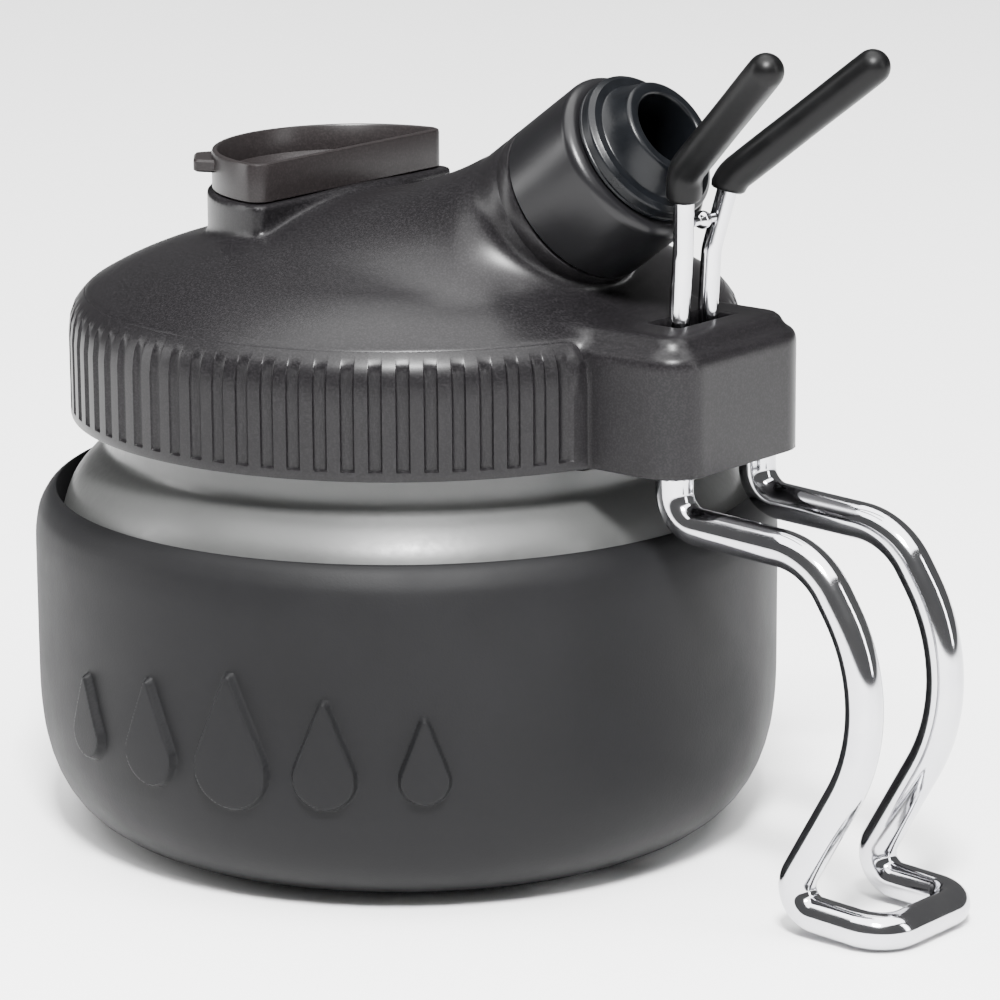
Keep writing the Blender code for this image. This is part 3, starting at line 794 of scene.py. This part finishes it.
def pull_to_surface(points, field, rounds=3):
    """Points moved along the gradient onto the field's zero surface."""
    reach, flattest, longest = 0.02, 0.25, 0.35
    for _ in range(rounds):
        value = field(points)
        slope = np.empty_like(points)
        for axis in range(3):
            shift = np.zeros(3)
            shift[axis] = reach
            slope[:, axis] = (field(points + shift) - field(points - shift)) / (2 * reach)
        move = -slope * (value / np.maximum((slope**2).sum(1), flattest))[:, None]
        length = np.maximum(np.linalg.norm(move, axis=1), longest)
        points = points + move * (longest / length)[:, None]
    return points


def make_lid(material):
    field = Lid()
    step = 0.62
    points, faces = surface_net(field, (-54.0, -54.0, 65.6), (69.2, 54.0, 112.5), step)
    points = pull_to_surface(points, field)
    mesh_piece("lid_body", points, faces, material, "lid", ["lid"], 48.0)


def make_neck_end(material):
    """The crisp end of the neck, where the collar meets it."""
    inner, back = SPIGOT_RADIUS - 0.6, -1.2
    outline = [(inner, back), (PORT_RADIUS - 0.5, back), (PORT_RADIUS, 0.2)]
    outline += [(PORT_RADIUS, NECK_END - 0.25), (PORT_RADIUS - 0.08, NECK_END - 0.07)]
    outline += [(PORT_RADIUS - 0.25, NECK_END), (inner, NECK_END)]
    turned("lid_neck_end", outline, material, "lid", place=on_port)


def skirt_line():
    """Outline of the skirt's outer wall: up its face, round the shoulder and back down inside."""
    foot = [(1.9, 0.4), (0.5, 0.0), (0.12, 0.12), (0.0, 0.5)]
    line = [(LID_RADIUS - inset, LID_BOTTOM + rise) for inset, rise in foot]
    line += [(LID_RADIUS, z) for z in (68.35, 68.5, 68.7, *np.linspace(70.0, 80.0, 6))]
    line += [(52.75, 81.4), (52.6, 82.6), (52.35, 83.3), (52.05, 84.1), (51.6, 84.75)]
    line += [(51.05, 85.45), (50.35, 86.2), (49.5, 86.45), (48.6, 85.6), (50.9, 82.0)]
    return np.array(line)


def from_groove(away):
    """Angle to the nearest groove's middle, at an angle from the block. Both are in degrees."""
    nearest = np.round((away - RIB_START) / RIB_PITCH) * RIB_PITCH + RIB_START
    return np.abs(away - np.maximum(nearest, RIB_START))


def skirt_turns():
    """Angles of the skirt's rows in degrees, closest together at the grooves' edges."""
    fine = 0.075
    edge = math.degrees(RIB_HALF / LID_RADIUS)
    half = []
    away = SKIRT_END
    while away <= 180.0 - fine:
        half.append(away)
        off = from_groove(away)
        if abs(off - edge) < 0.25:
            away += fine
        else:
            away += fine * (4 if off < edge else 8)
    half = np.array(half)
    return np.concatenate([half, 360.0 - half[::-1]])


def make_skirt(material):
    """The ribbed outer face of the lid's skirt, closed behind its own thin wall."""
    line = skirt_line()
    turns = skirt_turns()
    angle = np.radians(turns)
    away = np.minimum(turns, 360.0 - turns)
    across = from_groove(away) * math.radians(1) * LID_RADIUS
    scoop = np.sqrt(np.clip(1 - (across / RIB_HALF) ** 2, 0, 1))
    depth = RIB_DEPTH * np.where(across < RIB_HALF, 0.12 + 0.88 * scoop, 0.0)
    ridge = RIDGE_HEIGHT * np.clip(1 - np.abs(away - RIDGE_TURN) / RIDGE_HALF, 0, 1)
    # Grooves spare the bottom band and fade out on the shoulder.
    face = line[:, 0] > SKIRT_FACE
    cut = face * smooth_step(line[:, 1], 68.49, 68.71) * (1 - smooth_step(line[:, 1], 82.2, 85.2))
    stand = face * smooth_step(line[:, 1], 67.0, 68.6) * (line[:, 1] < 85.0)
    radius = line[:, 0] - depth[:, None] * cut + ridge[:, None] * stand
    radius = np.minimum(radius, LID_RADIUS)
    height = np.broadcast_to(line[:, 1], radius.shape)
    points = np.stack([radius * np.cos(angle)[:, None], radius * np.sin(angle)[:, None], height], -1)
    faces = capped_faces(*points.shape[:2])
    mesh_piece("lid_ribs", points.reshape(-1, 3), faces, material, "lid", (), 30.0)


# ---------------------------------------------------------------- cup and filters


def d_ring(radius, flat, corner, height):
    """Points round a D: an arc about the vent's axis, closed by a flat side facing the port."""
    reach = flat - corner - VENT_X
    rise = math.sqrt((radius - corner) ** 2 - reach**2)
    turn = math.degrees(math.atan2(rise, reach))
    ring = arc_points((flat - corner, rise), corner, 0, turn, 7)
    ring += arc_points((VENT_X, 0), radius, turn, 360 - turn, 64)[1:-1]
    ring += arc_points((flat - corner, -rise), corner, 360 - turn, 360, 7)
    ring += [(flat, y) for y in np.linspace(-rise, rise, 9)[1:-1]]
    return [(x, y, height) for x, y in ring]


def make_cup(material):
    """The filter cup's shell, lofted from the foot up its outside, over the rim and down inside."""
    low, top = CUP_LOW[2], CUP_HIGH[2]
    under = VENT_TOP + 0.06
    body = (VENT_RADIUS - VENT_WALL - 0.4, VENT_FLAT_X - VENT_WALL - 0.4)
    rim = (CUP_RADIUS, VENT_FLAT_X - 0.9)
    # Size, how far inside it, corner radius and height of each row.
    rows = [(body, 0.8, 1.2, low), (body, 0.0, 1.6, low + 0.8), (body, 0.0, 1.6, under)]
    rows += [(rim, 0.3, 2.2, under), (rim, 0.0, 2.4, under + 0.3), (rim, 0.0, 2.4, under + 2.0)]
    rows += [(rim, 0.0, 2.4, top - 0.5), (rim, 0.12, 2.3, top - 0.14), (rim, 0.4, 2.1, top)]
    rows += [(rim, 0.8, 1.5, top), (rim, 1.0, 1.4, top - 0.25), (rim, 1.1, 1.3, under + 2.2)]
    rows += [(body, CUP_WALL, 1.2, under + 0.6), (body, CUP_WALL, 1.2, low + 2.2)]
    rows += [(body, CUP_WALL + 0.6, 1.0, low + 1.6)]
    rings = np.array([d_ring(size[0] - inset, size[1] - inset, corner, z) for size, inset, corner, z in rows])
    faces = capped_faces(*rings.shape[:2])
    mesh_piece("cup_shell", rings.reshape(-1, 3), faces, material, "cup", ["filter_cup"])


def make_tab(material):
    """The lifting tab that stands out of the cup's rim."""
    turn = math.radians(222.0)
    reach, wide, narrow, corner, edge = 3.6, 4.8, 3.6, 0.9, 0.35
    top = CUP_HIGH[2] - 1.2
    out = np.array([math.cos(turn), math.sin(turn), 0.0])
    side = np.array([-math.sin(turn), math.cos(turn), 0.0])
    start = np.array([VENT_X, 0.0, 0.0]) + out * (CUP_RADIUS - 0.8)
    plan = filleted([(0.0, -wide, 0), (reach, -narrow, corner), (reach, narrow, corner), (0.0, wide, 0)], 5)
    points = []
    for inset, drop in [(edge, 2.0), (0.0, 1.7), (0.0, edge), (edge, 0.0)]:
        for ahead, across in plan:
            shrunk = side * across * (1 - inset / wide)
            points.append(start + out * (ahead - inset * (ahead > 0)) + shrunk + [0.0, 0.0, top - drop])
    faces = capped_faces(len(points) // len(plan), len(plan))
    mesh_piece("cup_tab", points, faces, material, "cup")


# ---------------------------------------------------------------- port, cradle and leg


def make_collar(material):
    """The smooth outer sleeve of the port, with a fine parting line behind it."""
    seat, lip, outer, edge = SPIGOT_RADIUS + GAP, 11.2, PORT_RADIUS, 1.7
    back, front, step = NECK_END + GAP, COLLAR_END, SPIGOT_END + GAP
    outline = [(seat, back), (outer - 0.25, back), (outer, back + 0.25), (outer, back + 5.0)]
    outline += arc_points((outer - edge, front - edge), edge, 0, 90, 10)
    outline += [(lip + 0.3, front), (lip, front - 0.3), (lip, step), (seat, step)]
    turned("collar_shell", outline, material, "port_cap", ["port_collar"], place=on_port)


def make_seal(material):
    """The rubber seal: a flange with a fine groove, a stepped ring and the cone round the hole."""
    back, flange = SPIGOT_END + 2 * GAP, COLLAR_END + GAP
    outline = [(8.6, back), (10.9, back), (10.9, flange - 0.1), (11.7, flange), (11.9, flange + 0.2)]
    outline += [(11.9, 17.9), (11.72, 18.05), (11.9, 18.2), (11.9, 19.2)]
    outline += arc_points((11.4, 19.35), 0.5, 0, 60, 4)
    outline += [(11.3, 20.0), (11.06, 20.2), (9.75, 20.22), (9.6, 20.35), (8.9, 22.0), (8.2, 23.7)]
    outline += arc_points((7.45, 23.75), 0.75, 20, 90, 5) + arc_points((6.6, 23.9), 0.6, 90, 180, 5)
    outline += [(6.0, 22.6), (6.3, 18.0)]
    turned("seal_rings", outline, material, "port_cap", ["port_seal"], place=on_port)


def prong_line(side, tip, elbow):
    """Centre line of a prong from its foot in the block to the tip of its grip."""
    corners = [
        ((PRONG_X, side * PRONG_HALF, 73.0), 0),
        ((PRONG_X - 0.6, side * 3.5, 90.0), 16.0),
        ((PRONG_X, side * 3.5, 98.5), 8.0),
        ((59.8, side * 5.6, elbow), 5.0),
        ((82.1, side * 13.9, tip), 0),
    ]
    return rounded_path(corners, 14)


def grip_line(path):
    """Centre line and radii of a grip: its rounded mouth, the bend, the straight and the round tip."""
    lower_bend, mouth_length = 101.0, 1.2
    end = path[-1]
    ahead = (end - path[-2]).normalized()
    first = next(i for i, point in enumerate(path) if point.z > lower_bend)
    below = path[first - 1]
    rise = (path[first] - below).normalized()
    mouth = below + rise * ((GRIP_MOUTH - below.z) / rise.z)
    rounding = [(0.0, 0.45), (0.25, 0.15), (0.7, 0.0)]
    line = [(mouth + rise * up, GRIP_RADIUS - inset) for up, inset in rounding]
    line += [(point, GRIP_RADIUS) for point in path[first:-1] if point.z > mouth.z + mouth_length]
    bend = line[-1][0]
    long = end - ahead * GRIP_RADIUS - bend
    # Dipped vinyl is never quite straight.
    for share in np.linspace(0.1, 0.95, 10):
        line.append((bend + long * share, GRIP_RADIUS + 0.02 * math.sin(9 * share)))
    for angle in np.linspace(0, math.pi / 2, 9):
        point = end - ahead * GRIP_RADIUS * (1 - math.sin(angle))
        line.append((point, max(GRIP_RADIUS * math.cos(angle), 0.06)))
    return [point for point, _ in line], [radius for _, radius in line]


def make_prong(name, side, tip, elbow, steel, vinyl):
    """A wire of the cradle, and the vinyl grip that its upper end is dipped in."""
    path = prong_line(side, tip, elbow)
    ahead = (path[-1] - path[-2]).normalized()
    wire = path[:-1] + [path[-1] - ahead * 2.6]
    radii = [PRONG_WIRE / 2] * len(wire)
    tube(f"{name}_wire", wire, radii, steel, "cradle", [f"prong_{name}"], 28)
    sides = 32
    cover, radii = grip_line(path)
    # The wire's bore in the grip stops short of the round tip.
    bore = cover[:-10]
    inside = tube_rings(bore, [GRIP_BORE] * len(bore), sides)
    rings = np.concatenate([tube_rings(cover, radii, sides)[::-1], inside])
    faces = capped_faces(len(rings), sides)
    node = f"grip_{name}"
    mesh_piece(f"{name}_grip", rings.reshape(-1, 3), faces, vinyl, "cradle", [node], 50.0)


def make_link(material):
    """The pin between the prongs, with a bead on its middle."""
    path, radii = [], []
    for across in np.linspace(-PIN_HALF, PIN_HALF, 33):
        path.append(Vector((58.9, across, PIN_HEIGHT)))
        radii.append(max(PIN_RADIUS, math.sqrt(max(BEAD_RADIUS**2 - across**2, 0.0))))
    tube("link_bead", path, radii, material, "cradle", ["prong_link"], 24)


def make_leg(material):
    """The leg: down from one socket, out and in to the foot, across it and back up the other side."""
    line = [
        ((LEG_X, 79.0), 0),
        ((LEG_X, 59.6), 5.0),
        ((87.5, 58.4), 12.0),
        ((101.5, 37.0), 27.0),
        ((82.3, 3.9), 4.0),
    ]
    near = [((x, -LEG_HALF, z), bend) for (x, z), bend in line]
    far = [((x, LEG_HALF, z), bend) for (x, z), bend in reversed(line)]
    foot = [((101.0, side * LEG_HALF, LEG_WIRE / 2), 5.0) for side in (-1, 1)]
    points, radii = soft_ends(rounded_path(near + foot + far, 18), LEG_WIRE / 2, 0.6)
    tube("leg_wire", points, radii, material, "leg", ["leg_loop"], 40)


def make_gasket(material):
    low, high = box_mm("lid_gasket")
    inner, outer, edge = NECK_RADIUS - GLASS - 0.4, LID_BORE - 0.6, 0.4
    corners = [(inner, low[2]), (outer, low[2]), (outer, high[2]), (inner, high[2])]
    outline = filleted([(radius, height, edge) for radius, height in corners], 4)
    turned("gasket_ring", outline, material, "gasket", ["lid_gasket"])


# ---------------------------------------------------------------- stage


def area_light(name, place, target, size, power):
    """A rectangular lamp that faces its target. Its power is in watts."""
    data = bpy.data.lights.new(name, "AREA")
    data.shape = "RECTANGLE"
    data.size, data.size_y = size
    data.energy = power
    light = bpy.data.objects.new(name, data)
    light.location = place
    light.rotation_euler = (Vector(target) - Vector(place)).to_track_quat("-Z", "Y").to_euler()
    bpy.context.scene.collection.objects.link(light)


def make_stage():
    """A plain pale floor, an even sky and four soft lamps."""
    span = 6.0
    corners = [(x * span, y * span, 0.0) for x, y in ((-1, -1), (1, -1), (1, 1), (-1, 1))]
    mesh = bpy.data.meshes.new("floor")
    mesh.from_pydata(corners, [], [(0, 1, 2, 3)])
    floor = bpy.data.objects.new("floor", mesh)
    finish = Finish("floor_paper", 0.6)
    finish.tint(finish.noise(3.0, 3.0), 0.3, 0.8, (0.80, 0.80, 0.80), (0.82, 0.82, 0.82))
    mesh.materials.append(finish.material)
    bpy.context.scene.collection.objects.link(floor)

    world = bpy.data.worlds.new("studio")
    bpy.context.scene.world = world
    world.use_nodes = True
    sky = world.node_tree.nodes["Background"]
    sky.inputs["Color"].default_value = (1.0, 1.0, 1.0, 1.0)
    sky.inputs["Strength"].default_value = 0.16

    middle = (0.0, 0.0, 0.06)
    area_light("overhead", (0.35, -0.40, 2.4), (0.35, -0.40, 0.0), (3.4, 3.4), 290.0)
    area_light("key", (0.56, -0.62, 1.12), middle, (0.24, 0.24), 85.0)
    area_light("left", (-1.15, -0.75, 0.50), middle, (0.30, 1.0), 13.0)
    area_light("right", (1.25, 0.35, 0.55), middle, (0.22, 0.9), 8.0)


def turned_by(first, second, angle):
    """Two directions at right angles, turned by an angle in their plane from first towards second."""
    cos, sin = math.cos(angle), math.sin(angle)
    return first * cos + second * sin, second * cos - first * sin


def make_camera():
    """Seen from between +X and -Y, a little above, through a long lens."""
    azimuth, elevation, distance = math.radians(-49.0), math.radians(14.03), 0.7515
    yaw, roll = math.radians(1.13), math.radians(-0.64)
    target = Vector((0.0, 0.0, 0.0511))
    level = math.cos(elevation)
    back = Vector((math.cos(azimuth) * level, math.sin(azimuth) * level, math.sin(elevation)))
    ahead = -back
    right = ahead.cross(Vector((0, 0, 1))).normalized()
    up = right.cross(ahead)
    ahead, right = turned_by(ahead, right, yaw)
    right, up = turned_by(right, up, roll)
    data = bpy.data.cameras.new("camera")
    data.sensor_width = 36.0
    data.lens = 169.8
    camera = bpy.data.objects.new("camera", data)
    place = Matrix((right, up, -ahead)).transposed().to_4x4()
    place.translation = target + back * distance
    camera.matrix_world = place
    bpy.context.scene.collection.objects.link(camera)
    bpy.context.scene.camera = camera


def dress_node(node, material):
    """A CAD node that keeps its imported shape, with a finer material."""
    shape = frame["nodes"][node]
    shape.data.materials.clear()
    shape.data.materials.append(material)


def main():
    glass = glass_finish()
    lid_tones = (0.0036, 0.0033, 0.0037), (0.0094, 0.0087, 0.0095)
    lid_plastic = speckled_plastic("lid_smoky", *lid_tones, 0.34, 0.16)
    cup_tones = (0.0082, 0.0069, 0.0070), (0.0138, 0.0117, 0.0119)
    cup_plastic = speckled_plastic("cup_smoky", *cup_tones, 0.33, 0.18)
    steel = chrome_finish("prong_steel")
    vinyl = vinyl_finish()
    make_sleeve(silicone_finish())
    make_jar(glass)
    make_thread(glass)
    make_lid(lid_plastic)
    make_neck_end(lid_plastic)
    make_skirt(lid_plastic)
    make_gasket(rubber_finish("gasket_rubber", (0.09, 0.09, 0.09), 0.6))
    make_cup(cup_plastic)
    make_tab(cup_plastic)
    dress_node("filter_grid", cup_plastic)
    dress_node("filter_foam", foam_finish())
    dress_node("filter_fibre", felt_finish())
    make_collar(smooth_plastic("collar_satin", (0.0040, 0.0039, 0.0044), 0.31))
    make_seal(rubber_finish("seal_blue_black", (0.0020, 0.0023, 0.0029), 0.31))
    make_prong("left", -1, 131.0, 111.5, steel, vinyl)
    make_prong("right", 1, 128.4, 109.0, steel, vinyl)
    make_link(steel)
    make_leg(chrome_finish("leg_steel"))
    make_stage()
    make_camera()


main()
